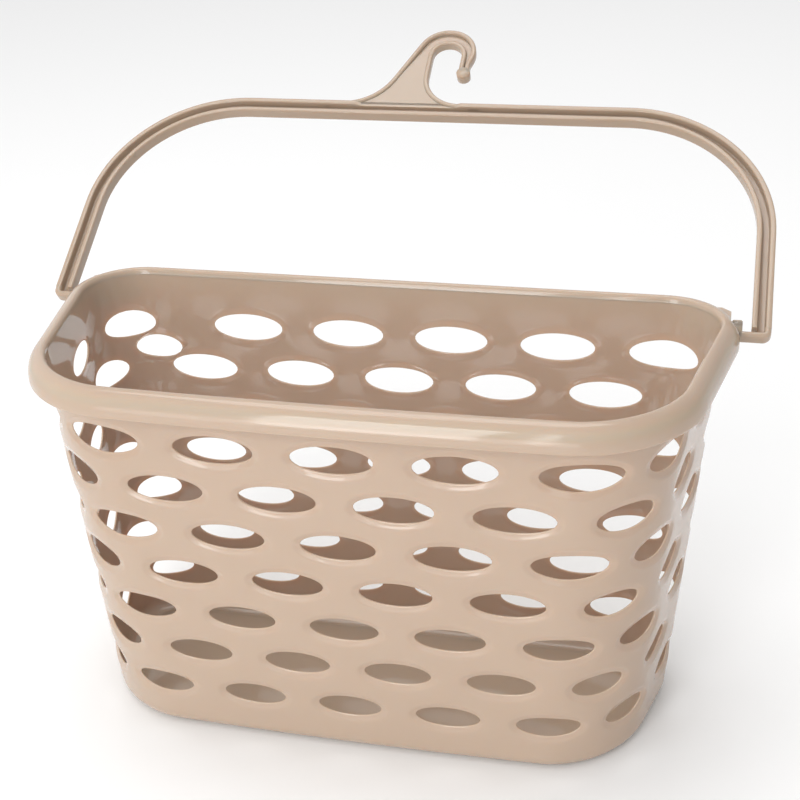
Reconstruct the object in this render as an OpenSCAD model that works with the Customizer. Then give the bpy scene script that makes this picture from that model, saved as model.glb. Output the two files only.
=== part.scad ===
// Hanging shower caddy in moulded plastic.
// A one-piece perforated basket with a rolled rim, and a folding bail handle whose two pins
// clip into the ends of the rim and whose hook hangs the caddy from a rail.
// Millimetres, +Z up. The origin is the middle of the underside, and the front faces -Y.

/* [Basket] */
// Height from the underside to the top of the rim
basket_h = 177.5; // [160:0.5:190]
// Half of the width across the back corners, at the bottom
base_half_w = 141.5; // [135:0.5:148]
// Half of the width across the back corners, at the rim
rim_half_w = 154.5; // [152:0.5:157]
// How much further out the back corners reach than the front corners
plan_flare = 23.5; // [10:0.5:30]
// Distance from the origin forward to the front wall, at the bottom
base_front = 42.5; // [38:0.5:46]
// Distance from the origin forward to the front wall, at the rim
rim_front = 49.5; // [47:0.5:52]
// Distance from the origin back to the back wall, at the bottom
base_back = 48; // [44:0.5:52]
// Distance from the origin back to the back wall, at the rim
rim_back = 75.5; // [73:0.5:77]
// How far the middle of the front wall bows forward
front_bow = 4; // [0:0.5:5]
// Radius of the upright corners at the front
front_r = 45.5; // [38:0.5:50]
// Radius of the upright corners at the back
back_r = 26; // [24:0.5:30]
// Thickness of the walls
wall = 1.5; // [1.2:0.1:2]
// Thickness of the floor
floor_t = 2; // [1.5:0.1:3]
// Radius of the rounded edge between the floor and the walls
bottom_r = 8; // [6:0.5:10]

/* [Rim] */
// How far the rolled rim stands out from the wall
rim_out = 7.5; // [6:0.5:8]
// How far the rim's skirt hangs down
rim_drop = 11; // [9:0.5:13]
// Height of the rim's rounded shoulder
rim_round = 6; // [4:0.5:7]

/* [Holes] */
// Height of the middle of the top row of holes
top_row_z = 151.5; // [148:0.5:153]
// Distance between rows
row_pitch = 21.15; // [20:0.05:21.3]
// Distance between holes along the top row of the front and back
hole_pitch = 50; // [48:0.5:52]
// Length of a hole in the top row
hole_len = 34.5; // [30:0.5:36]
// Length of a top row hole in the basket's ends
end_hole_len = 28; // [24:0.5:34.5]
// Height of a hole in the top row
hole_high = 12.5; // [10:0.5:13]
// Size of the bottom row's holes as a share of the top row's
hole_shrink = 0.82; // [0.7:0.01:1]

/* [Handle] */
// How far back the handle leans from upright, in degrees
lean = 57; // [0:1:90]
// Distance of the pivots behind the origin
pivot_y = 63.5; // [61:0.5:65]
// Height of the pivots
pivot_z = 169.5; // [168:0.5:170.5]
// Half of the width across the outside of the legs
bail_half_w = 169; // [168:0.5:172]
// Distance from the pivots to the far side of the cross bar
bail_reach = 122.5; // [122:0.5:123.5]
// Radius of the handle's shoulders, on the outside
shoulder_r = 72; // [60:1:80]
// Width of the handle's face
bail_face = 8.5; // [8:0.5:9]
// Depth of the handle from front to back
bail_depth = 6; // [5:0.5:6]
// Thickness of the flanges along the handle's edges
flange = 1.8; // [1.4:0.1:2.2]
// Thickness of the web between the flanges
web = 2; // [1.6:0.1:2.6]
// Radius of the pivot pins
pin_r = 2.5; // [2:0.1:2.6]
// Gap around a pin in its socket
pin_gap = 0.06; // [0.03:0.01:0.1]

/* [Hook] */
// Outer radius of the hook's ring
hook_r = 15.5; // [14:0.5:16]
// Inner radius of the hook's ring
hook_bore_r = 7.5; // [7:0.5:8]
// Distance from the pivots to the middle of the hook's ring
hook_up = 157.5; // [157:0.5:158]
// Radius of the round tip of the hook
tip_r = 3.6; // [3:0.1:4]

/* [Hidden] */
$fn = 64;
beige = [0.81, 0.725, 0.655];
rim_beige = [0.87, 0.79, 0.72];
handle_beige = [0.79, 0.70, 0.63];

rows = 7;
hole_sides = 10;
front_steps = 4;
front_corner_steps = 7;
back_corner_steps = 6;
edge_steps = 4;
lip_z = basket_h - wall;

// The rim's skirt is interrupted for this far either side of each pivot, where a socket fills
// the space under the bead along the top of the rim
socket_half = 9;
socket_inner_x = 130;
socket_face_x = 151.5;
socket_bottom_z = 163.5;
socket_top_z = 174.5;
socket_bevel = 4;
bore_end_x = 146.3;
pin_end_x = 146.5;
foot_face_x = 152.3;
foot_block = 4.2;
foot_drop = 6.5;
foot_plate = 2.5;
foot_corner = 2.5;
leg_end = foot_plate - foot_drop;
pin_boss_r = bail_depth / 2;

function mix(a, b, t) = a + (b - a) * t;

// Share of the way up from the rounded bottom edge to the top of the rim
function up(z) = (max(z, bottom_r) - bottom_r) / (basket_h - bottom_r);
function half_w(z) = mix(base_half_w, rim_half_w, up(z));
function front(z) = mix(base_front, rim_front, up(z));
function back(z) = mix(base_back, rim_back, up(z));
function depth(z) = front(z) + back(z);

// The ends are straight and slant outwards towards the back
function slant(z) = atan(plan_flare / depth(z));
function end_x(z, y) = half_w(z) - plan_flare * (back(z) - y) / depth(z);
function corner(z, y, r) = [end_x(z, y) - r / cos(slant(z)), y];
function front_corner(z) = corner(z, front_r - front(z), front_r);
function back_corner(z) = corner(z, back(z) - back_r, back_r);

function turned(centre, r, angle) = centre + r * [cos(angle), sin(angle)];
function middle_y(z) = (back(z) - front(z)) / 2;
function bow(p, z) =
    front_bow * (1 - pow(p[0] / half_w(z), 2)) * max(0, (middle_y(z) - p[1]) / (depth(z) / 2));
function bowed(p, z) = [p[0], p[1] - bow(p, z)];

// Right-hand half of the outline at height z, stood off by out, from the front middle to the back
function right_side(z, out) =
    let (f = front_corner(z), b = back_corner(z), s = slant(z))
    concat(
        [for (i = [0 : front_steps - 1]) [f[0] * i / front_steps, -front(z) - out]],
        [for (i = [0 : front_corner_steps])
            turned(f, front_r + out, mix(-90, -s, i / front_corner_steps))],
        [for (i = [0 : back_corner_steps])
            turned(b, back_r + out, mix(-s, 90, i / back_corner_steps))]);

function outline(z, out) =
    let (r = [for (p = right_side(z, out)) bowed(p, z)])
    concat(r, [for (i = [len(r) - 1 : -1 : 1]) [-r[i][0], r[i][1]]]);

function ring(z, out) = [for (p = outline(z, out)) [p[0], p[1], z]];
function side_faces(n, k, k2) =
    [for (i = [0 : n - 1])
        let (j = (i + 1) % n)
        each [[k * n + i, k2 * n + i, k * n + j], [k2 * n + i, k2 * n + j, k * n + j]]];

// A closed band around the basket, with the profile given as [out, z] points
module band(profile) {
    rings = [for (p = profile) ring(p[1], p[0])];
    n = len(rings[0]);
    m = len(profile);
    polyhedron(
        points = [for (r = rings) each r],
        faces = [for (k = [0 : m - 1]) each side_faces(n, k, (k + 1) % m)]);
}

// Everything inside the outline, through levels given as [out, z] points
module core(levels) {
    rings = [for (p = levels) ring(p[1], p[0])];
    n = len(rings[0]);
    m = len(levels);
    polyhedron(
        points = [for (r = rings) each r],
        faces = concat(
            [[for (i = [0 : n - 1]) i]],
            [[for (i = [n - 1 : -1 : 0]) (m - 1) * n + i]],
            [for (k = [0 : m - 2]) each side_faces(n, k, k + 1)]));
}

function rounded_bottom() =
    [for (i = [0 : edge_steps])
        let (t = 90 * i / edge_steps)
        [-bottom_r + bottom_r * sin(t), bottom_r - bottom_r * cos(t)]];
function rounded_inside() =
    [for (i = [0 : edge_steps])
        let (t = 90 * i / edge_steps)
        [-bottom_r + (bottom_r - wall) * cos(t), bottom_r - (bottom_r - floor_t) * sin(t)]];
function wall_profile() =
    concat(rounded_bottom(), [[0, lip_z], [-wall, lip_z]], rounded_inside());

// The rim is a rolled J: over the top of the wall, outwards and down as a skirt
function rim_underside() =
    [for (i = [0 : edge_steps])
        let (t = 90 * i / edge_steps)
        [(rim_out - wall) * sin(t), lip_z - (rim_round - wall) * (1 - cos(t))]];
function rim_shoulder() =
    [for (i = [0 : edge_steps + 1])
        let (t = 90 * i / (edge_steps + 1))
        [rim_out * cos(t), basket_h - rim_round * (1 - sin(t))]];
function rim_profile() =
    concat(
        rim_underside(),
        [[rim_out - wall, basket_h - rim_drop], [rim_out, basket_h - rim_drop]],
        rim_shoulder(),
        [[-wall * 0.7, basket_h - wall * 0.3], [-wall, lip_z]]);

// A point on the wall at distance s around it from the front middle, with its outward angle
function wall_at(s, z) =
    let (f = front_corner(z), b = back_corner(z), a = slant(z))
    let (turn_f = front_r * (90 - a) * PI / 180, turn_b = back_r * (90 + a) * PI / 180)
    let (end_start = turned(f, front_r, -a), end_stop = turned(b, back_r, -a))
    let (s1 = s - f[0], s2 = s1 - turn_f, s3 = s2 - norm(end_stop - end_start), s4 = s3 - turn_b)
    s1 <= 0 ? [s, -front(z), -90] :
    s2 <= 0 ? let (t = -90 + s1 / front_r * 180 / PI) [each turned(f, front_r, t), t] :
    s3 <= 0 ? [each end_start + s2 * [sin(a), cos(a)], -a] :
    s4 <= 0 ? let (t = -a + s3 / back_r * 180 / PI) [each turned(b, back_r, t), t] :
    [b[0] - s4, back(z), 90];

// Half of the way around the wall
function half_round(z) =
    let (f = front_corner(z), b = back_corner(z), a = slant(z))
    f[0] + b[0] + (front_r * (90 - a) + back_r * (90 + a)) * PI / 180
    + norm(turned(b, back_r, -a) - turned(f, front_r, -a));

// Holes are spaced from the front middle as far as the ends, and from the back middle round the
// back corners. Rows alternate, and a lower row is closer together, as the basket is narrower
odd_front = [0, 1, 2, 2.86, 3.8];
even_front = [0.5, 1.5, 2.44, 3.34, 4.38];
odd_back = [0.5, 1.5, 2.5];
even_back = [0, 1, 2];
// In the left back corner the first rows' last hole is further round, and beside it is one more
left_corner_at = 2.74;
corner_hole_s = 251;
corner_hole_z = 139.5;
corner_hole_size = [24, 11];
function row_z(row) = top_row_z - row * row_pitch;
function row_scale(row) = half_round(row_z(row)) / half_round(top_row_z);
function back_stations(odd, side) =
    !odd ? even_back : side > 0 ? odd_back : [odd_back[0], odd_back[1], left_corner_at];
function stations(row, side) =
    let (pitch = hole_pitch * row_scale(row), odd = row % 2 == 0)
    [for (s = concat(
        [for (i = odd ? odd_front : even_front) i * pitch],
        [for (i = back_stations(odd, side)) half_round(row_z(row)) - i * pitch]))
        if (side > 0 || (s > 1 && s < half_round(row_z(row)) - 1)) s];

// A tapered elliptical cutter that points along -Y, with its wider end outside
module hole(len, high) {
    hull() {
        for (end = [[12, 0], [-4, 1]]) {
            translate([0, end[0], 0])
                rotate([90, 0, 0])
                    linear_extrude(0.1)
                        polygon([for (i = [0 : hole_sides - 1])
                            let (t = 360 * (i + 0.5) / hole_sides)
                            [(len / 2 + end[1]) * cos(t), (high / 2 + end[1]) * sin(t)]]);
        }
    }
}

module hole_in_wall(side, s, z, len, high) {
    p = wall_at(s, z);
    mirror([side < 0 ? 1 : 0, 0, 0])
        translate([p[0], p[1] - bow(p, z), z])
            rotate([0, 0, p[2] + 90])
                hole(len, high);
}

// The holes in the ends are shorter
module holes() {
    for (row = [0 : rows - 1], side = [1, -1], s = stations(row, side)) {
        size = mix(1, hole_shrink, row / (rows - 1));
        along = s / row_scale(row) / hole_pitch;
        len = along > 2.4 && along < 4.9 ? end_hole_len : hole_len;
        hole_in_wall(side, s, row_z(row), len * size, hole_high * size);
    }
    hole_in_wall(-1, corner_hole_s, corner_hole_z, corner_hole_size[0], corner_hole_size[1]);
}

module basket_wall() {
    color(beige)
        difference() {
            band(wall_profile());
            holes();
        }
}

module basket_floor() {
    color(beige)
        linear_extrude(floor_t)
            polygon(outline(0, -bottom_r));
}

// Clears the rim's skirt over each pivot, and trims its bead flush with the socket's flat face
module socket_gap() {
    room = 20;
    translate([socket_inner_x, pivot_y - socket_half, socket_top_z - room])
        cube([2 * room, 2 * socket_half, room]);
    translate([socket_face_x, pivot_y - socket_half, socket_top_z - room])
        cube([room, 2 * socket_half, 2 * room]);
}

module rim_band() {
    color(rim_beige)
        difference() {
            band(rim_profile());
            socket_gap();
            mirror([1, 0, 0])
                socket_gap();
        }
}

// A solid block between the wall and the handle's foot, flat on the outside, with a blind bore
// for the pin
module pivot_socket() {
    color(rim_beige)
        difference() {
            translate([0, pivot_y, socket_bottom_z])
                linear_extrude(socket_top_z - socket_bottom_z)
                    polygon([
                        [socket_inner_x, -socket_half],
                        [socket_face_x, -socket_half],
                        [socket_face_x, socket_half - socket_bevel],
                        [socket_face_x - socket_bevel, socket_half],
                        [socket_inner_x, socket_half]]);
            core([[0, bottom_r], [0, lip_z]]);
            translate([bore_end_x, pivot_y, pivot_z])
                rotate([0, 90, 0])
                    cylinder(r = pin_r + pin_gap, h = 10);
        }
}

module pivot_socket_right() {
    pivot_socket();
}

module pivot_socket_left() {
    mirror([1, 0, 0])
        pivot_socket();
}

// Stands a flat shape up in the handle's plane: its X stays, and its Y runs from the pivots
// towards the cross bar
module in_handle(depth, forward = 0) {
    translate([0, pivot_y, pivot_z])
        rotate([90 - lean, 0, 0])
            translate([0, 0, forward - depth / 2])
                linear_extrude(depth)
                    children();
}

// A door shape with round shoulders, set in from the handle's outer edge
module arch(inset, bottom) {
    w = bail_half_w - inset;
    r = shoulder_r - inset;
    top = bail_reach - inset;
    difference() {
        translate([-w, bottom])
            square([2 * w, top - bottom]);
        for (side = [-1, 1]) {
            difference() {
                translate([side * w - r, top - r])
                    square([2 * r, r + 1]);
                translate([side * (w - r), top - r])
                    circle(r);
            }
        }
    }
}

module arch_strip(outer, inner) {
    difference() {
        arch(outer, leg_end);
        arch(inner, leg_end - 1);
    }
}

module handle_bail() {
    color(handle_beige) {
        in_handle(web, (web - bail_depth) / 2)
            arch_strip(flange / 2, bail_face - flange / 2);
        in_handle(bail_depth)
            arch_strip(0, flange);
        in_handle(bail_depth)
            arch_strip(bail_face - flange, bail_face);
    }
}

// The foot of the hook spreads into the cross bar through two hollow curves
module hook_neck() {
    left_r = 27.5;
    right_r = 18;
    left_x = -43.5;
    right_x = 11.3;
    inner_x = -hook_bore_r + 0.8;
    outer_x = left_x + left_r;
    difference() {
        translate([left_x, bail_reach])
            square([right_x - left_x, left_r]);
        translate([left_x, bail_reach + left_r])
            circle(left_r);
        translate([right_x, bail_reach + right_r])
            circle(right_r);
        translate([inner_x, bail_reach + right_r])
            square([right_x, left_r]);
    }
    polygon([
        [outer_x, bail_reach + left_r],
        [inner_x, bail_reach + left_r],
        [inner_x, hook_up],
        [-hook_r, hook_up]]);
}

module hook_ring() {
    bore = [0.8, hook_up - 2];
    tip = [11, 143.4];
    difference() {
        circle_at([0, hook_up], hook_r);
        circle_at(bore, hook_bore_r);
        translate([bore[0] - hook_bore_r, hook_up - 2 * hook_r])
            square([2 * hook_r, 2 * hook_r - 2]);
        translate([-hook_r, hook_up - 2 * hook_r])
            square([2 * hook_r, 1.5 * hook_r]);
    }
    polygon([
        [bore[0] + hook_bore_r, bore[1]],
        [tip[0] - tip_r, tip[1]],
        [tip[0] + tip_r, tip[1]],
        [hook_r + 0.2, bore[1] - 4],
        [hook_r, hook_up],
        [bore[0] + hook_bore_r, hook_up]]);
    circle_at(tip, tip_r);
}

module circle_at(p, r) {
    translate(p)
        circle(r);
}

module hook_shape() {
    hook_neck();
    hook_ring();
}

module hanging_hook() {
    color(handle_beige) {
        in_handle(web)
            hook_shape();
        in_handle(bail_depth)
            difference() {
                hook_shape();
                offset(delta = -flange) {
                    hook_shape();
                    translate([-60, bail_reach - 10])
                        square([90, 10]);
                }
            }
    }
}

// The outer flange turns in under the leg and ends in a boss with the pivot pin
module pivot_foot() {
    outer_x = bail_half_w - foot_corner;
    color(handle_beige) {
        in_handle(bail_depth) {
            translate([foot_face_x, -foot_drop])
                square([outer_x - foot_face_x, foot_plate]);
            translate([foot_face_x, leg_end])
                square([foot_block, -leg_end]);
            intersection() {
                translate([outer_x, leg_end])
                    circle(foot_corner);
                translate([outer_x, -foot_drop])
                    square(foot_plate);
            }
        }
        translate([foot_face_x, pivot_y, pivot_z])
            rotate([0, 90, 0])
                cylinder(r = pin_boss_r, h = foot_block);
        translate([pin_end_x, pivot_y, pivot_z])
            rotate([0, 90, 0])
                cylinder(r = pin_r, h = foot_face_x - pin_end_x);
    }
}

module pivot_foot_right() {
    pivot_foot();
}

module pivot_foot_left() {
    mirror([1, 0, 0])
        pivot_foot();
}

basket_wall();
basket_floor();
rim_band();
pivot_socket_left();
pivot_socket_right();
handle_bail();
hanging_hook();
pivot_foot_left();
pivot_foot_right();
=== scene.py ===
"""Looks of the hanging shower caddy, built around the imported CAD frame.

Lengths are worked out in millimetres, as in the CAD, and become metres when a mesh is made.
"""

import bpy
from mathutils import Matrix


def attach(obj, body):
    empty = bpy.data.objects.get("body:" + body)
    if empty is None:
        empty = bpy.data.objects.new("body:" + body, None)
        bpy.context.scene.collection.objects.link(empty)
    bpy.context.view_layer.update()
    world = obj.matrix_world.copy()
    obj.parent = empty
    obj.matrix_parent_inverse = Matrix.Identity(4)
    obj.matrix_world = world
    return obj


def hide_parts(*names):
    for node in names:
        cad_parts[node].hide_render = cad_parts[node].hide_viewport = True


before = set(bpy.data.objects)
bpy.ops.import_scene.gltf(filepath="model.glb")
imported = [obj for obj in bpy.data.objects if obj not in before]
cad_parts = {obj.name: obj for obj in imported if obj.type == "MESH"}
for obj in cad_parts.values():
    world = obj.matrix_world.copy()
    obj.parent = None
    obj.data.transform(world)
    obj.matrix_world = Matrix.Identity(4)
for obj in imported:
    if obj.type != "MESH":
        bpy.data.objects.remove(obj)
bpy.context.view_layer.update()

import math

import bmesh
import bpy
from mathutils import Matrix, Vector

MM = 0.001

# The basket, as in the CAD
BASKET_H = 177.5
BASE_HALF_W, RIM_HALF_W = 141.5, 154.5
PLAN_FLARE = 23.5
BASE_FRONT, RIM_FRONT = 42.5, 49.5
BASE_BACK, RIM_BACK = 48.0, 75.5
FRONT_BOW = 4.0
FRONT_R, BACK_R = 45.5, 26.0
WALL, FLOOR_T, BOTTOM_R = 1.5, 2.0, 8.0
RIM_OUT, RIM_DROP, RIM_ROUND = 7.5, 11.0, 6.0

# The holes, as in the CAD
ROWS = 7
TOP_ROW_Z, ROW_PITCH, HOLE_PITCH = 151.5, 21.15, 50.0
HOLE_LEN, END_HOLE_LEN, HOLE_HIGH, HOLE_SHRINK = 34.5, 28.0, 12.5, 0.82
# Places of an even and an odd row's holes, in pitches from the front's and the back's middle
FROM_FRONT = ([0, 1, 2, 2.86, 3.8], [0.5, 1.5, 2.44, 3.34, 4.38])
FROM_BACK = ([0.5, 1.5, 2.5], [0, 1, 2])
LEFT_CORNER_AT = 2.74
# The shorter holes are the ones between these two places
END_FROM, END_TO = 2.4, 4.9
CORNER_HOLE_S, CORNER_HOLE_Z, CORNER_HOLE_SIZE = 251.0, 139.5, (24.0, 11.0)

# The handle, as in the CAD
LEAN = 57.0
PIVOT_Y, PIVOT_Z = 63.5, 169.5
BAIL_HALF_W, BAIL_REACH, SHOULDER_R = 169.0, 122.5, 72.0
BAIL_FACE, BAIL_DEPTH = 8.5, 6.0
SOCKET_HALF, SOCKET_FACE_X = 9.0, 151.5


def mix(a, b, t):
    """The value at share t of the way from a to b."""
    return a + (b - a) * t


def ease(t):
    """Falls from 1 at 0 to 0 at 1, and is level at both."""
    return 1 - t * t * (3 - 2 * t)


# ---------------------------------------------------------------- plan of the basket


def share_up(z):
    """How far up the wall a height is: 0 in the rounded base, and 1 at the rim's top."""
    return (max(z, BOTTOM_R) - BOTTOM_R) / (BASKET_H - BOTTOM_R)


class Plan:
    """The basket's outline at one height: front, rounded corners, slanting ends and back."""

    def __init__(self, z):
        t = share_up(z)
        self.half_w = mix(BASE_HALF_W, RIM_HALF_W, t)
        self.front = mix(BASE_FRONT, RIM_FRONT, t)
        self.back = mix(BASE_BACK, RIM_BACK, t)
        self.depth = self.front + self.back
        self.slant = math.atan(PLAN_FLARE / self.depth)
        self.front_c = self.corner(FRONT_R - self.front, FRONT_R)
        self.back_c = self.corner(self.back - BACK_R, BACK_R)
        self.front_turn = FRONT_R * (math.pi / 2 - self.slant)
        self.back_turn = BACK_R * (math.pi / 2 + self.slant)
        self.end_start = self.turned(self.front_c, FRONT_R, -self.slant)
        end_stop = self.turned(self.back_c, BACK_R, -self.slant)
        self.end_len = math.dist(self.end_start, end_stop)
        self.half_round = (
            self.front_c[0] + self.front_turn + self.end_len + self.back_turn + self.back_c[0]
        )

    def corner(self, y, r):
        """The centre of a corner of radius r whose arc meets the slanting end."""
        x = self.half_w - PLAN_FLARE * (self.back - y) / self.depth
        return x - r / math.cos(self.slant), y

    @staticmethod
    def turned(centre, r, angle):
        """The point of a circle at an angle."""
        return centre[0] + r * math.cos(angle), centre[1] + r * math.sin(angle)

    def bow(self, x, y):
        """How far the front's bow pushes a point forwards."""
        middle = (self.back - self.front) / 2
        return FRONT_BOW * (1 - (x / self.half_w) ** 2) * max(0.0, (middle - y) / (self.depth / 2))

    def point(self, w, out=0.0):
        """The point at share w of the half round: 0 in front, and 1 or -1 at the back."""
        s = abs(w) * self.half_round
        legs = (self.front_c[0], self.front_turn, self.end_len, self.back_turn)
        if s <= legs[0]:
            x, y = s, -self.front - out
        elif s <= sum(legs[:2]):
            angle = -math.pi / 2 + (s - legs[0]) / FRONT_R
            x, y = self.turned(self.front_c, FRONT_R + out, angle)
        elif s <= sum(legs[:3]):
            on = s - sum(legs[:2])
            x = self.end_start[0] + on * math.sin(self.slant) + out * math.cos(self.slant)
            y = self.end_start[1] + on * math.cos(self.slant) - out * math.sin(self.slant)
        elif s <= sum(legs):
            angle = -self.slant + (s - sum(legs[:3])) / BACK_R
            x, y = self.turned(self.back_c, BACK_R + out, angle)
        else:
            x, y = self.back_c[0] - (s - sum(legs)), self.back + out
        y -= self.bow(x, y)
        return (x if w >= 0 else -x), y


plans = {}


def wall_point(w, z, out=0.0):
    """The point of the wall's outer skin at share w and height z, moved outwards by out."""
    key = round(z, 4)
    if key not in plans:
        plans[key] = Plan(z)
    x, y = plans[key].point(w, out)
    return x, y, z


# ---------------------------------------------------------------- mesh helpers

# Edges that turn by more than this are shaded as sharp
SHARP_FROM = math.radians(55)


class Skin:
    """Collects corners and faces, and shares the corners that fall on one another."""

    def __init__(self):
        self.points, self.faces, self.known = [], [], {}

    def corner(self, p):
        """The number of the corner at p, to a thousandth of a millimetre."""
        key = tuple(round(c, 3) for c in p)
        if key not in self.known:
            self.known[key] = len(self.points)
            self.points.append(p)
        return self.known[key]

    def face(self, corners):
        """Adds a face, without the corners that fall together."""
        own = []
        for c in corners:
            if c not in own:
                own.append(c)
        if len(own) > 2:
            self.faces.append(own)

    def strip(self, first, second):
        """Joins two closed rows of corner numbers with quads."""
        n = len(first)
        for i in range(n):
            j = (i + 1) % n
            self.face([first[i], first[j], second[j], second[i]])

    def tube(self, rows):
        """Joins closed rows, each with the next."""
        for first, second in zip(rows, rows[1:]):
            self.strip(first, second)

    def rod(self, rows):
        """A tube with both of its ends closed."""
        self.tube(rows)
        self.face(rows[0][::-1])
        self.face(rows[-1])

    def row(self, points):
        return [self.corner(p) for p in points]

    def build(self, name, body, material, nodes):
        """Makes the mesh, and hands it to the frame in place of the named CAD nodes."""
        mesh = bpy.data.meshes.new(name)
        mesh.from_pydata([Vector(p) * MM for p in self.points], [], self.faces)
        mesh.validate()
        obj = bpy.data.objects.new(name, mesh)
        bpy.context.scene.collection.objects.link(obj)
        mesh.materials.append(material)
        solid = bmesh.new()
        solid.from_mesh(mesh)
        bmesh.ops.recalc_face_normals(solid, faces=solid.faces)
        solid.to_mesh(mesh)
        solid.free()
        for polygon in mesh.polygons:
            polygon.use_smooth = True
        mesh.set_sharp_from_angle(angle=SHARP_FROM)
        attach(obj, body)
        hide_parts(*nodes)


def rounded(corners, r, steps=4):
    """A closed outline with each corner rounded to radius r, or less where a side is short."""
    out = []
    n = len(corners)
    for i in range(n):
        before, here, after = (Vector(corners[(i + k) % n]) for k in (-1, 0, 1))
        back, on = (before - here), (after - here)
        reach = min(r, back.length * 0.48, on.length * 0.48)
        start, stop = here + back.normalized() * reach, here + on.normalized() * reach
        for k in range(steps + 1):
            t = k / steps
            out.append(tuple(start * (1 - t) ** 2 + here * 2 * t * (1 - t) + stop * t * t))
    return out


def arc(centre, r, start, stop, steps):
    """Points on an arc, with its angles in degrees."""
    angles = [math.radians(mix(start, stop, i / steps)) for i in range(steps + 1)]
    return [(centre[0] + r * math.cos(a), centre[1] + r * math.sin(a)) for a in angles]


def smoothed(path, rounds=3):
    """Rounds off a path's kinks by averaging, with its two ends kept."""
    for _ in range(rounds):
        inner = [
            tuple((a[k] + 2 * b[k] + c[k]) / 4 for k in range(2))
            for a, b, c in zip(path, path[1:], path[2:])
        ]
        path = [path[0], *inner, path[-1]]
    return path


def evenly(path, step):
    """The same path with points about step apart."""
    out = [path[0]]
    for a, b in zip(path, path[1:]):
        count = max(1, round(math.dist(a, b) / step))
        out += [tuple(mix(a[k], b[k], i / count) for k in range(2)) for i in range(1, count + 1)]
    return out


# ---------------------------------------------------------------- materials


def plastic(name, colour, shade):
    """Glossy moulded polypropylene, with a faint cloudiness and a faint ripple in its skin."""
    material = bpy.data.materials.new(name)
    material.use_nodes = True
    nodes, links = material.node_tree.nodes, material.node_tree.links
    shader = nodes["Principled BSDF"]
    shader.inputs["IOR"].default_value = 1.49
    shader.inputs["Subsurface Weight"].default_value = 0.35
    shader.inputs["Subsurface Scale"].default_value = 1.0
    shader.inputs["Subsurface Radius"].default_value = (0.004, 0.0022, 0.0013)
    where = nodes.new("ShaderNodeTexCoord")

    def noise(scale, detail):
        texture = nodes.new("ShaderNodeTexNoise")
        texture.inputs["Scale"].default_value = scale
        texture.inputs["Detail"].default_value = detail
        links.new(where.outputs["Object"], texture.inputs["Vector"])
        return texture.outputs["Fac"]

    cloud = noise(9.0, 3.0)
    tint = nodes.new("ShaderNodeMix")
    tint.data_type = "RGBA"
    tint.inputs["A"].default_value = (*colour, 1)
    tint.inputs["B"].default_value = (*shade, 1)
    links.new(cloud, tint.inputs["Factor"])
    links.new(tint.outputs["Result"], shader.inputs["Base Color"])

    fine = noise(60.0, 4.0)
    gloss = nodes.new("ShaderNodeMapRange")
    gloss.inputs["To Min"].default_value = 0.05
    gloss.inputs["To Max"].default_value = 0.1
    links.new(fine, gloss.inputs["Value"])
    links.new(gloss.outputs["Result"], shader.inputs["Roughness"])

    ripple = noise(28.0, 2.0)
    bump = nodes.new("ShaderNodeBump")
    bump.inputs["Strength"].default_value = 0.07
    bump.inputs["Distance"].default_value = 0.0006
    links.new(ripple, bump.inputs["Height"])
    links.new(bump.outputs["Normal"], shader.inputs["Normal"])
    return material


basket_plastic = plastic("basket_plastic", (0.455, 0.35, 0.267), (0.435, 0.332, 0.25))
handle_plastic = plastic("handle_plastic", (0.41, 0.315, 0.235), (0.39, 0.298, 0.222))


# ---------------------------------------------------------------- the perforated shell

# How far the outer and inner skins dip around a hole, and over what distance
DISH, INNER_DISH, DISH_REACH = 1.0, 0.3, 3.9
# The radii of a hole's edges on the two skins
LIP_R, INNER_LIP_R = 0.4, 0.3
# How far the rings are from the hole, on the way in and on the way out
LIP_STEPS = [3.9, 3.0, 2.2, 1.5, 0.95, 0.5, 0.2, 0.04]
INNER_STEPS = [0.02, 0.12, 0.3, 0.9, 1.8, 2.8, 3.9]


def rounding(d, r):
    """How deep a quarter round of radius r lies below its flat at distance d from the edge."""
    return r - math.sqrt(max(0.0, r * r - max(0.0, r - d) ** 2))


def nearness(d):
    """1 at a hole's edge, and 0 where the dip around it ends."""
    return ease(min(1.0, d / DISH_REACH))


def lip_rings():
    """Rings from the outer skin through the hole to the inner skin, as [distance, depth]."""
    outside = [(d, DISH * nearness(d) + rounding(d, LIP_R)) for d in LIP_STEPS]
    inside = [
        (d, WALL + INNER_DISH * nearness(d) - rounding(d, INNER_LIP_R)) for d in INNER_STEPS
    ]
    return [*outside, (0.0, DISH + LIP_R), *inside]


# Corners are about this far apart along a row's line, and in this many steps between holes
SAMPLE = 2.6
SIDE_STEPS = 9
# No ring goes further than this share of the way to its brick's edge
RING_LIMIT = 0.92


def row_z(row):
    return TOP_ROW_Z - row * ROW_PITCH


def station(s):
    """The share of the way round of a place on the left, s along the top row from the front."""
    return -s / Plan(TOP_ROW_Z).half_round


# The wall between the left corner's two close holes, from [s, z] to [s, z], upwards
CORNER_SPLIT = [(233, 137.95), (238, 141.5), (244.5, 145.3), (251.5, 148.3), (257, 162.1)]
SPLIT_STEP = 1.8
CORNER_FAR_EDGE = 269.0
# The line under the corner's extra hole: its lowest place, how far it dips, and its ease
DIP_S, DIP_DEPTH = 248.0, 9.0
DIP_RISE, DIP_FLAT = 13.0, 0.54


def wrapped(w):
    """The share brought back between -1 and 1, and rounded so that it can be looked up."""
    return round((w + 1) % 2 - 1, 6)


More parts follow.
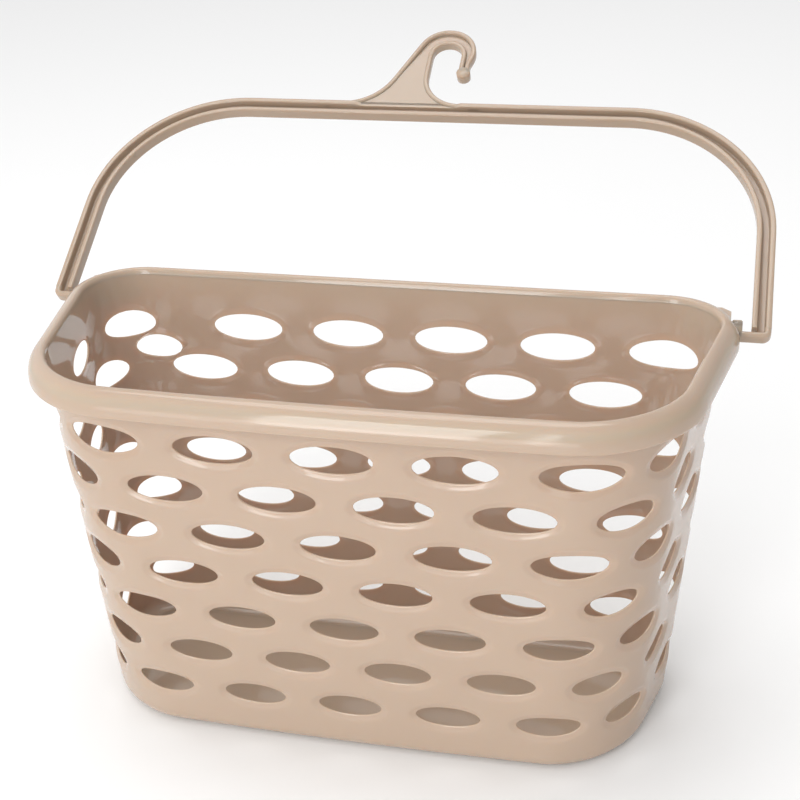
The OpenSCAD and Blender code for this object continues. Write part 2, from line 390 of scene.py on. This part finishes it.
def holes_in(row):
    """The row's holes in order, as [share of the way round from -1 to 1, height, half axes]."""
    full = Plan(TOP_ROW_Z).half_round / HOLE_PITCH
    size = mix(1, HOLE_SHRINK, row / (ROWS - 1))
    found = {}
    for side in (1, -1):
        back = FROM_BACK[row % 2]
        if side < 0 and row % 2 == 0:
            back = [*back[:2], LEFT_CORNER_AT]
        for at in FROM_FRONT[row % 2] + [full - i for i in back]:
            length = END_HOLE_LEN if END_FROM < at < END_TO else HOLE_LEN
            w = wrapped(side * at / full)
            found[w] = (w, row_z(row), length * size / 2, HOLE_HIGH * size / 2)
    if row == 0:
        w = wrapped(station(CORNER_HOLE_S))
        found[w] = (w, CORNER_HOLE_Z, CORNER_HOLE_SIZE[0] / 2, CORNER_HOLE_SIZE[1] / 2)
    return [found[w] for w in sorted(found)]


def line_z(line, w):
    """Height of the line above row number line. It dips under the left corner's extra hole."""
    z = TOP_ROW_Z + (0.5 - line) * ROW_PITCH
    if line == 1:
        away = abs((w - station(DIP_S)) * Plan(TOP_ROW_Z).half_round)
        z -= DIP_DEPTH * ease(min(1.0, max(0.0, away / DIP_RISE - DIP_FLAT)))
    return z


def sides_in(row):
    """The edges between the row's holes, each as [share, height] points upwards."""
    holes = holes_in(row)
    sides = []
    for hole, following in zip(holes, [*holes[1:], holes[0]]):
        ahead = following[0] + (2 if following[0] <= hole[0] else 0)
        at = wrapped((hole[0] + ahead) / 2)
        if following[1] == CORNER_HOLE_Z:
            at = wrapped(station(CORNER_FAR_EDGE))
        if hole[1] == CORNER_HOLE_Z:
            split = [(wrapped(station(s)), z) for s, z in evenly(CORNER_SPLIT, SPLIT_STEP)]
            split[0] = (split[0][0], line_z(row + 1, split[0][0]))
            split[-1] = (split[-1][0], line_z(row, split[-1][0]))
            sides.append(split)
        else:
            low, high = line_z(row + 1, at), line_z(row, at)
            sides.append([(at, mix(low, high, i / SIDE_STEPS)) for i in range(SIDE_STEPS + 1)])
    return sides


def line_samples(line):
    """The shares at which a line is divided: at every edge that ends on it, and between."""
    ends = set()
    if line > 0:
        ends |= {side[0][0] for side in sides_in(line - 1)}
    if line < ROWS:
        ends |= {side[-1][0] for side in sides_in(line)}
    ends = sorted(ends)
    samples = []
    half_round = Plan(line_z(line, 0)).half_round
    for a, b in zip(ends, [*ends[1:], ends[0] + 2]):
        count = max(1, math.ceil((b - a) * half_round / SAMPLE))
        samples += [wrapped(mix(a, b, i / count)) for i in range(count)]
    return sorted(samples)


samples_on = [line_samples(line) for line in range(ROWS + 1)]


def between(samples, start, stop):
    """The samples from start round to stop, both included, as shares that go on rising."""
    span = (stop - start) % 2
    found = sorted((w - start) % 2 for w in samples if (w - start) % 2 <= span + 1e-6)
    return [start + on for on in found]


def add_brick(skin, row, hole, left, right):
    """One hole and the wall around it: rings from the brick's edge to the hole and through."""
    start = left[0][0]
    below = between(samples_on[row + 1], start, right[0][0])
    above = between(samples_on[row], left[-1][0], right[-1][0])

    def ahead(w):
        """The share w as a number that goes on rising from the brick's left edge."""
        return start - 0.5 + (w - start + 0.5) % 2

    edge = [(w, line_z(row + 1, wrapped(w))) for w in below[:-1]]
    edge += [(ahead(w), z) for w, z in right[:-1]]
    edge += [(ahead(w), line_z(row, wrapped(w))) for w in reversed(above[1:])]
    edge += [(ahead(w), z) for w, z in left[:0:-1]]

    centre, z, a, b = ahead(hole[0]), *hole[1:]
    around = Plan(z).half_round
    reach = (ahead(right[0][0]) - start) / 2 * around

    def places(d):
        """The ring at distance d from the hole, or nearer where the brick's edge is close."""
        out = []
        for w, h in edge:
            angle = math.atan2((h - z) / (ROW_PITCH / 2), (w - centre) * around / reach)
            rim = (centre + a * math.cos(angle) / around, z + b * math.sin(angle))
            room = math.hypot((w - rim[0]) * around, h - rim[1])
            t = min(d / room, RING_LIMIT * d / DISH_REACH)
            out.append((mix(rim[0], w, t), mix(rim[1], h, t)))
        return out

    def ring(found, depth):
        return skin.row([wall_point((w + 1) % 2 - 1, h, -depth) for w, h in found])

    lips = [(places(d), depth) for d, depth in lip_rings()]
    halfway = [tuple(mix(p[k], q[k], 0.5) for k in range(2)) for p, q in zip(edge, lips[0][0])]
    rings = [ring(edge, 0), ring(halfway, 0)]
    rings += [ring(found, depth) for found, depth in lips]
    rings += [ring(halfway, WALL), ring(edge, WALL)]
    skin.tube(rings)


def add_level_band(skin, samples, profile):
    """The wall above or below the holes: rows of corners through [out, z] points."""
    skin.tube([skin.row([wall_point(w, z, out) for w in samples]) for out, z in profile])


# A fine step runs round the base's rounded edge: its depth, and the angles it starts at and takes
BASE_STEP, BASE_STEP_FROM, BASE_STEP_RUN = 0.35, math.radians(52), 0.15


def base_profile(bottom):
    """The rounded base below the holes, from the outer skin round to the inner one."""
    turn = [math.radians(t) for t in range(0, 91, 10)]
    outside = []
    for t in turn:
        r = BOTTOM_R - (BASE_STEP if t > BASE_STEP_FROM else 0)
        at_step = t > BASE_STEP_FROM > t - turn[1]
        for angle in [t - BASE_STEP_RUN, t] if at_step else [t]:
            outside.append((-BOTTOM_R + r * math.cos(angle), BOTTOM_R - r * math.sin(angle)))
    inner_r, inner_h = BOTTOM_R - WALL, BOTTOM_R - FLOOR_T
    inside = [(-BOTTOM_R + inner_r * math.cos(t), BOTTOM_R - inner_h * math.sin(t)) for t in turn]
    under = [(0, bottom), (0, mix(bottom, BOTTOM_R, 0.5)), *outside, *reversed(inside)]
    return under + [(-WALL, mix(bottom, BOTTOM_R, 0.5)), (-WALL, bottom)]


def top_profile(top):
    """The band above the holes, from the outer skin over its top to the inner one."""
    rim_foot = BASKET_H - WALL
    over = [(0, top), (0, mix(top, rim_foot, 0.5)), (0, rim_foot), (-WALL, rim_foot)]
    return over + [(-WALL, mix(top, rim_foot, 0.5)), (-WALL, top)]


def build_shell():
    skin = Skin()
    for row in range(ROWS):
        sides = sides_in(row)
        for i, hole in enumerate(holes_in(row)):
            add_brick(skin, row, hole, sides[i - 1], sides[i])
    add_level_band(skin, samples_on[0], top_profile(row_z(0) + ROW_PITCH / 2))
    add_level_band(skin, samples_on[ROWS], base_profile(row_z(ROWS - 1) - ROW_PITCH / 2))
    skin.build("basket_shell", "basket", basket_plastic, ["basket_wall"])


build_shell()


# ---------------------------------------------------------------- the rim


# The rim's outside above its hem, and its top, as [out, z] points
RIM_FACE = [(7.42, 168.3), (7.15, 169.8), (6.72, 171.3), (6.12, 172.7), (5.35, 174.0)]
RIM_CREST = [(4.4, 175.2), (3.3, 176.2), (2.1, 176.95), (0.9, 177.35), (0.2, 177.47)]
# The rim's inner edge stands this much further in than the wall's inner skin
RIM_INSIDE = 0.03
RIM_STEPS = 400
# The pocket's face lies this far behind the socket's, and its ends open at this slope
POCKET_GAP, POCKET_SLOPE = 0.1, 4


def rim_profile():
    """The rolled rim as a closed [out, z] outline: over the wall's top, outwards and down."""
    under = [
        ((RIM_OUT - WALL) * math.sin(t), BASKET_H - WALL - (RIM_ROUND - WALL) * (1 - math.cos(t)))
        for t in [math.radians(10 * i) for i in range(10)]
    ]
    hem_r = WALL / 2
    hem_z = BASKET_H - RIM_DROP + hem_r
    hem = arc((RIM_OUT - hem_r, hem_z), hem_r, 180, 360, 8)
    inner = -WALL - RIM_INSIDE
    brow = [(-0.45, BASKET_H - 0.1), (-0.9, BASKET_H - 0.4), (-1.25, BASKET_H - 0.85)]
    inside = [(inner, BASKET_H - 1.4), (inner, BASKET_H - 3)]
    return under + hem + RIM_FACE + RIM_CREST + brow + inside


def pocketed(p):
    """Flattens the rim's outside where the handle's foot turns against it."""
    x, y, z = p
    off = abs(y - PIVOT_Y) - SOCKET_HALF
    limit = SOCKET_FACE_X - POCKET_GAP + max(0.0, off) * POCKET_SLOPE
    return math.copysign(min(abs(x), limit), x), y, z


def build_rim():
    skin = Skin()
    shares = [wrapped(-1 + 2 * i / RIM_STEPS) for i in range(RIM_STEPS)]
    rows = []
    for out, z in rim_profile():
        rows.append(skin.row([pocketed(wall_point(w, z, out)) for w in shares]))
    skin.tube([*rows, rows[0]])
    skin.build("rolled_rim", "basket", basket_plastic, ["rim_band"])


build_rim()


# ---------------------------------------------------------------- the handle

TILT = math.radians(90 - LEAN)


def in_handle(x, t, n):
    """A point of the handle's own plane: x across, t out from the pivots, n towards the viewer."""
    y = PIVOT_Y + t * math.cos(TILT) - n * math.sin(TILT)
    z = PIVOT_Z + t * math.sin(TILT) + n * math.cos(TILT)
    return x, y, z


OUTER_FLANGE, INNER_FLANGE, FLANGE_ROUND = 2.6, 2.4, 0.8
WEB_BACK, WEB_FRONT = -2.6, -1.0
LEG_FOOT_T = -1.5
LEG_STEPS, SHOULDER_STEPS, BAR_STEPS = 6, 32, 30
# Where the outer flange is low between the hook's ribs, and how far it then stands up
NECK_LEFT, NECK_RIGHT, NECK_TOP_N = -42.0, 10.0, 1.6


def bail_section():
    """The handle's channel section as [inwards, n] points, with its edges rounded."""
    h = BAIL_DEPTH / 2
    web_start, web_stop = OUTER_FLANGE, BAIL_FACE - INNER_FLANGE
    corners = [
        (0, -h), (web_start, -h), (web_start, WEB_BACK), (web_stop, WEB_BACK),
        (web_stop, -h), (BAIL_FACE, -h), (BAIL_FACE, h), (web_stop, h),
        (web_stop, WEB_FRONT), (web_start, WEB_FRONT), (web_start, h), (0, h),
    ]
    return rounded(corners, FLANGE_ROUND)


def bail_stations():
    """Places along the handle, left to right, as functions of the distance inwards."""
    straight = BAIL_HALF_W - SHOULDER_R
    rise = BAIL_REACH - SHOULDER_R
    right = [
        lambda q, t=mix(LEG_FOOT_T, rise, i / LEG_STEPS): (BAIL_HALF_W - q, t)
        for i in range(LEG_STEPS)
    ]
    for i in range(SHOULDER_STEPS + 1):
        angle = math.radians(90 * i / SHOULDER_STEPS)
        right.append(
            lambda q, a=angle: (
                straight + (SHOULDER_R - q) * math.cos(a),
                rise + (SHOULDER_R - q) * math.sin(a),
            )
        )
    right += [
        lambda q, x=straight * (1 - i / BAR_STEPS): (x, BAIL_REACH - q)
        for i in range(1, BAR_STEPS + 1)
    ]
    left = [lambda q, f=f: (-f(q)[0], f(q)[1]) for f in right[:-1]]
    return left + right[::-1]


def flange_height(x, t, q, n):
    """The outer flange drops to the hook's web between the feet of the hook's two ribs."""
    on_bar = t > BAIL_REACH - OUTER_FLANGE - 0.5 and q <= OUTER_FLANGE
    if on_bar and NECK_LEFT < x < NECK_RIGHT:
        return math.copysign(min(abs(n), NECK_TOP_N), n)
    return n


def build_bail():
    skin = Skin()
    section = bail_section()
    rows = []
    for place in bail_stations():
        points = []
        for q, n in section:
            x, t = place(q)
            points.append(in_handle(x, t, flange_height(x, t, q, n)))
        rows.append(skin.row(points))
    skin.rod(rows)
    skin.build("bail_handle", "handle", handle_plastic, ["handle_bail"])


build_bail()


def plane_normals(path):
    """The unit normal, to the left of the way along, at each point of a path."""
    out = []
    for i, p in enumerate(path):
        a, b = path[max(0, i - 1)], path[min(len(path) - 1, i + 1)]
        d = Vector((b[0] - a[0], b[1] - a[1])).normalized()
        out.append((-d.y, d.x))
    return out


def add_rib(skin, path, half_w, half_n):
    """A round-topped rib that follows a path in the handle's plane."""
    section = rounded(
        [(-half_w, -half_n), (half_w, -half_n), (half_w, half_n), (-half_w, half_n)], half_w, 5
    )
    rows = []
    for (x, t), (nx, nt) in zip(path, plane_normals(path)):
        rows.append(skin.row([in_handle(x + nx * a, t + nt * a, b) for a, b in section]))
    skin.rod(rows)


def add_plate(skin, outline, half_n, bevel):
    """A flat plate in the handle's plane, with softened edges."""
    levels = [(0.0, half_n - bevel), (bevel, half_n)]
    centre = (
        sum(p[0] for p in outline) / len(outline),
        sum(p[1] for p in outline) / len(outline),
    )
    closed = [*outline, outline[0]]
    normals = plane_normals(closed)[:-1]
    sign = 1 if sum(
        (p[0] - centre[0]) * n[0] + (p[1] - centre[1]) * n[1] for p, n in zip(outline, normals)
    ) < 0 else -1
    rows = []
    for side in (-1, 1):
        ordered = levels[::-1] if side < 0 else levels
        for inset, n in ordered:
            rows.append(skin.row([
                in_handle(x + nx * inset * sign, t + nt * inset * sign, side * n)
                for (x, t), (nx, nt) in zip(outline, normals)
            ]))
    skin.rod(rows)


HOOK_R, HOOK_BORE_R, HOOK_UP = 15.5, 7.5, 157.5
RIB_HALF = 1.3
RIB_N = 2.5
TIP = (10.9, 143.4)
TIP_R, TIP_N, TIP_BEVEL = 3.5, 2.6, 0.3
# Each rib starts on the bar and sweeps up into the ring
OUTER_START_X, OUTER_SWEEP_C, OUTER_SWEEP_R = -58, (-49.5, 148.6), 26.1
INNER_START_X, INNER_SWEEP_C, INNER_SWEEP_R = 22, (11.3, 140.5), 18
INNER_RING_C = (0.8, HOOK_UP - 2)
RIB_STEP, RIB_ROUNDS = 1.2, 6
# Where the neck's sides turn into the ring's
OUTER_NECK_END, INNER_NECK_END = (-16.5, 156), (-8, 151)
NECK_STEPS, RING_STEPS = 40, 60
# The web keeps the neck's thickness up to one place, and thins out over some more
WEB_THICK_TO, WEB_THIN_OVER, WEB_THIN_N = 30, 14, 0.6


def outer_rib_path():
    """The middle of the rib along the neck's left side and the ring's outside."""
    sweep = arc(OUTER_SWEEP_C, OUTER_SWEEP_R + RIB_HALF, -90, -24, 18)
    ring = arc((0, HOOK_UP), HOOK_R - RIB_HALF, 155, -34, 42)
    end = (TIP[0] + 2.1, TIP[1] + 0.3)
    path = [(OUTER_START_X, BAIL_REACH - RIB_HALF), *sweep, *ring, end]
    return smoothed(evenly(path, RIB_STEP), RIB_ROUNDS)


def inner_rib_path():
    """The middle of the rib along the neck's right side and round the mouth."""
    sweep = arc(INNER_SWEEP_C, INNER_SWEEP_R + RIB_HALF, -90, -178, 18)
    ring = arc(INNER_RING_C, HOOK_BORE_R + RIB_HALF, 176, -8, 30)
    end = (TIP[0] - 1.6, TIP[1] + 1.4)
    path = [(INNER_START_X, BAIL_REACH - RIB_HALF), *sweep, *ring, end]
    return smoothed(evenly(path, RIB_STEP), RIB_ROUNDS)


def along(path, count):
    """The path as count points, the same way apart."""
    marks = [0.0]
    for a, b in zip(path, path[1:]):
        marks.append(marks[-1] + math.dist(a, b))
    out, i = [], 0
    for k in range(count):
        s = marks[-1] * k / (count - 1)
        while i < len(path) - 2 and marks[i + 1] < s:
            i += 1
        t = (s - marks[i]) / (marks[i + 1] - marks[i])
        out.append(tuple(mix(path[i][j], path[i + 1][j], t) for j in range(2)))
    return out


def split_at(path, place):
    """The path's two halves, divided at the point that is nearest to the place."""
    i = min(range(len(path)), key=lambda k: math.dist(path[k], place))
    return path[: i + 1], path[i:]


def add_web(skin, first, second):
    """A flat web from one path to the other, which thins out in the ring."""
    rows = []
    for i, (p, q) in enumerate(zip(first, second)):
        thinned = min(1.0, max(0.0, (i - WEB_THICK_TO) / WEB_THIN_OVER))
        half_n = mix(NECK_TOP_N, WEB_THIN_N, thinned)
        rows.append(skin.row([
            in_handle(*p, half_n), in_handle(*q, half_n),
            in_handle(*q, -half_n), in_handle(*p, -half_n),
        ]))
    skin.rod(rows)


def build_hook():
    skin = Skin()
    outer, inner = outer_rib_path(), inner_rib_path()
    add_rib(skin, outer, RIB_HALF, RIB_N)
    add_rib(skin, inner, RIB_HALF, RIB_N)
    sides = []
    for path, neck_end in ((outer, OUTER_NECK_END), (inner, INNER_NECK_END)):
        neck, ring = split_at(path, neck_end)
        sides.append(along(neck, NECK_STEPS) + along(ring, RING_STEPS)[1:])
    add_web(skin, *sides)
    add_plate(skin, arc(TIP, TIP_R, 0, 352.5, 47), TIP_N, TIP_BEVEL)
    skin.build("hanger_hook", "handle", handle_plastic, ["hanging_hook"])


build_hook()


# The foot under a leg: its half thickness, its bend, its underside and its inner end
FOOT_HALF = OUTER_FLANGE / 2 + 0.2
FOOT_BEND_R, FOOT_UNDER_T, FOOT_END_X = 2.2, -6.5, 153.2
# The boss and the pin on the hinge line, as [x, radius] points
BOSS = [(152.3, 2.6), (152.7, 3.1), (156.1, 3.1), (156.6, 2.6)]
PIN = [(146.5, 2.1), (146.9, 2.5), (152.5, 2.5)]
# The post that carries the boss, as [x, t] points
POST = [(152.3, -6.2), (156.6, -6.2), (156.6, 1.2), (152.3, 1.2)]
POST_ROUND, POST_BEVEL = 0.9, 0.4


def turned_foot(side):
    """The outer flange turns in under the leg, and ends in a boss with the pivot pin."""
    skin = Skin()
    x = BAIL_HALF_W - FOOT_HALF
    base_t = FOOT_UNDER_T + FOOT_HALF
    bend = arc((x - FOOT_BEND_R, base_t + FOOT_BEND_R), FOOT_BEND_R, 0, -90, 8)
    path = [(x, LEG_FOOT_T + 0.6), *bend, (FOOT_END_X, base_t)]
    path = [(side * px, pt) for px, pt in evenly(path, 1.0)]
    add_rib(skin, path, FOOT_HALF, BAIL_DEPTH / 2)
    for outline in (BOSS, PIN):
        rows = []
        for px, r in outline:
            ring = [2 * math.pi * i / 40 for i in range(40)]
            rows.append(skin.row([
                (side * px, PIVOT_Y + r * math.cos(a), PIVOT_Z + r * math.sin(a)) for a in ring
            ]))
        skin.rod(rows)
    post = [(side * px, pt) for px, pt in rounded(POST, POST_ROUND)]
    add_plate(skin, post, BAIL_DEPTH / 2, POST_BEVEL)
    name = "left" if side < 0 else "right"
    skin.build(
        f"turned_foot_{name}", "handle", handle_plastic, [f"pivot_foot_{name}"]
    )


turned_foot(-1)
turned_foot(1)

for node in ("basket_floor", "pivot_socket_left", "pivot_socket_right"):
    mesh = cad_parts[node].data
    mesh.materials.clear()
    mesh.materials.append(basket_plastic)


# ---------------------------------------------------------------- stage, lights and camera


def stage_material():
    material = bpy.data.materials.new("studio_floor")
    material.use_nodes = True
    shader = material.node_tree.nodes["Principled BSDF"]
    shader.inputs["Base Color"].default_value = (0.9, 0.9, 0.9, 1)
    shader.inputs["Roughness"].default_value = 0.9
    return material


bpy.ops.mesh.primitive_plane_add(size=60)
floor = bpy.context.object
floor.name = "studio_floor"
floor.data.materials.append(stage_material())


def softbox(name, place, target, width, height, watts):
    light = bpy.data.lights.new(name, "AREA")
    light.shape = "RECTANGLE"
    light.size, light.size_y = width, height
    light.energy = watts
    obj = bpy.data.objects.new(name, light)
    obj.location = place
    obj.rotation_euler = (Vector(target) - Vector(place)).to_track_quat("-Z", "Y").to_euler()
    bpy.context.scene.collection.objects.link(obj)


softbox("key_softbox", (-0.235, -1.06, 0.62), (-0.1, -0.06, 0.17), 0.35, 0.9, 5)
softbox("strip_softbox", (0.03, -1.06, 0.62), (0.1, -0.06, 0.17), 0.03, 0.9, 0.42)
softbox("fill_softbox", (-0.3, -1.7, 0.3), (0, 0, 0.05), 1.6, 0.5, 4)
softbox("top_softbox", (-0.2, 0.3, 1.7), (0, 0, 0.1), 1.2, 0.8, 8)


def studio_world():
    """White all round, and dimmer towards the right."""
    world = bpy.data.worlds.new("studio")
    bpy.context.scene.world = world
    world.use_nodes = True
    nodes, links = world.node_tree.nodes, world.node_tree.links
    background = nodes["Background"]
    background.inputs["Color"].default_value = (1, 1, 1, 1)
    where = nodes.new("ShaderNodeTexCoord")
    parts = nodes.new("ShaderNodeSeparateXYZ")
    links.new(where.outputs["Generated"], parts.inputs["Vector"])
    dim = nodes.new("ShaderNodeMapRange")
    dim.inputs["From Min"].default_value = -0.2
    dim.inputs["From Max"].default_value = 1.0
    dim.inputs["To Min"].default_value = 1.05
    dim.inputs["To Max"].default_value = 0.35
    links.new(parts.outputs["X"], dim.inputs["Value"])
    links.new(dim.outputs["Result"], background.inputs["Strength"])
    bpy.context.scene.view_settings.view_transform = "Standard"


studio_world()


def place_camera():
    """The photo's camera, which is turned left and down and rolled a little."""
    place = Vector((142.6, -507.0, 418.9)) * MM
    yaw, pitch, roll = 0.2436, 0.4689, -0.038
    forward = Vector((
        -math.sin(yaw) * math.cos(pitch), math.cos(yaw) * math.cos(pitch), -math.sin(pitch)
    ))
    right = Vector((math.cos(yaw), math.sin(yaw), 0))
    up = right.cross(forward)
    right_rolled = right * math.cos(roll) + up * math.sin(roll)
    up_rolled = up * math.cos(roll) - right * math.sin(roll)
    camera = bpy.data.objects.new("camera", bpy.data.cameras.new("camera"))
    turn = Matrix((right_rolled, up_rolled, -forward)).transposed().to_4x4()
    camera.matrix_world = Matrix.Translation(place) @ turn
    camera.data.sensor_width = 36
    camera.data.lens = 61.95
    camera.data.clip_start = 0.01
    bpy.context.scene.collection.objects.link(camera)
    bpy.context.scene.camera = camera


place_camera()
